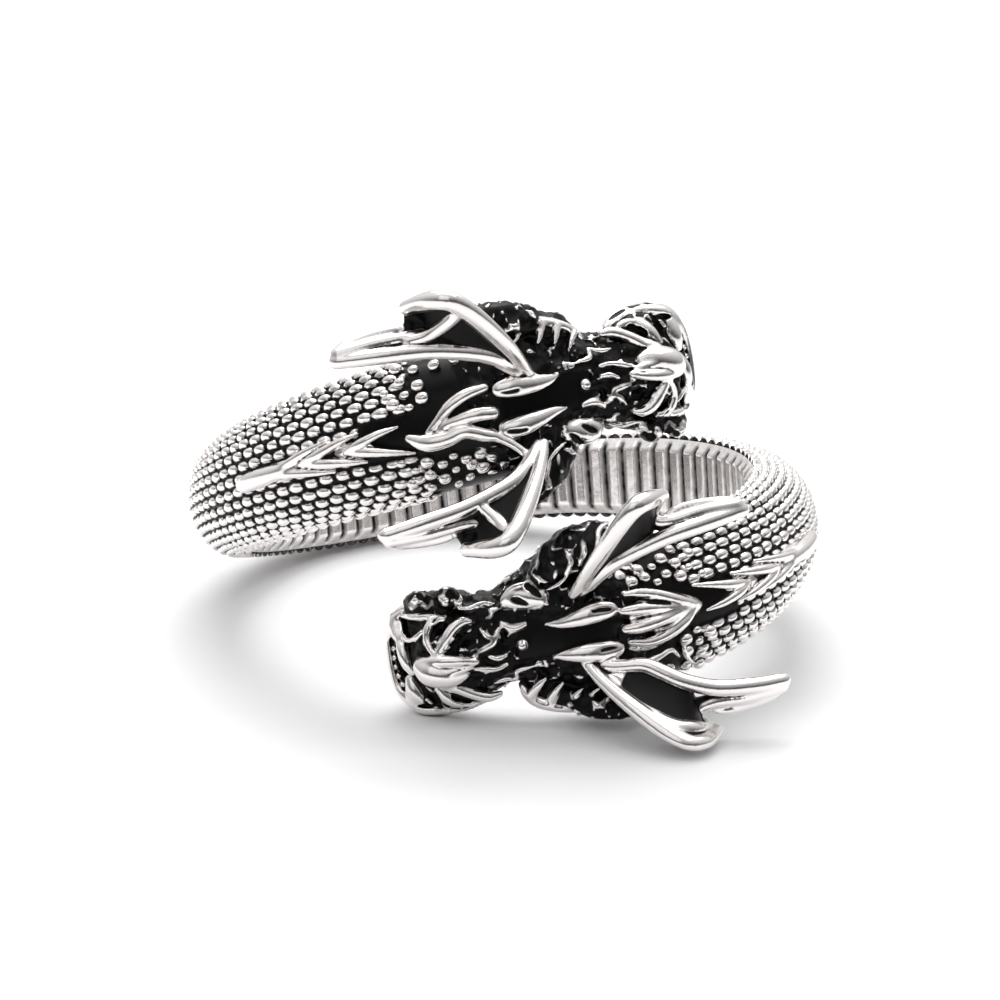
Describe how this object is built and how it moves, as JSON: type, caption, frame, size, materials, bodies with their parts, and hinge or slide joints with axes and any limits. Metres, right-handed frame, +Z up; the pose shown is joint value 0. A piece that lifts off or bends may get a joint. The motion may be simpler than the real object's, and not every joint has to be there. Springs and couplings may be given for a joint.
{
  "type": "dragon bypass ring",
  "caption": "Open bypass finger ring: a scaled dragon's body winds round the finger, thin at the back, and ends at the front in horned heads that pass each other.",
  "frame": {"origin": "middle of the bounding box, on the surface that the ring lies on", "axes": "+Z up; the two heads at the front, -Y; the finger's axis is +Z tilted by 16.3 degrees, mostly towards +Y"},
  "size_m": [0.0232, 0.026, 0.0154],
  "materials": {
    "antique_silver": "polished cast silver, blackened in its hollows"
  },
  "bodies": {
    "root": {"dragon_ring": "antique_silver"}
  },
  "joints": []
}
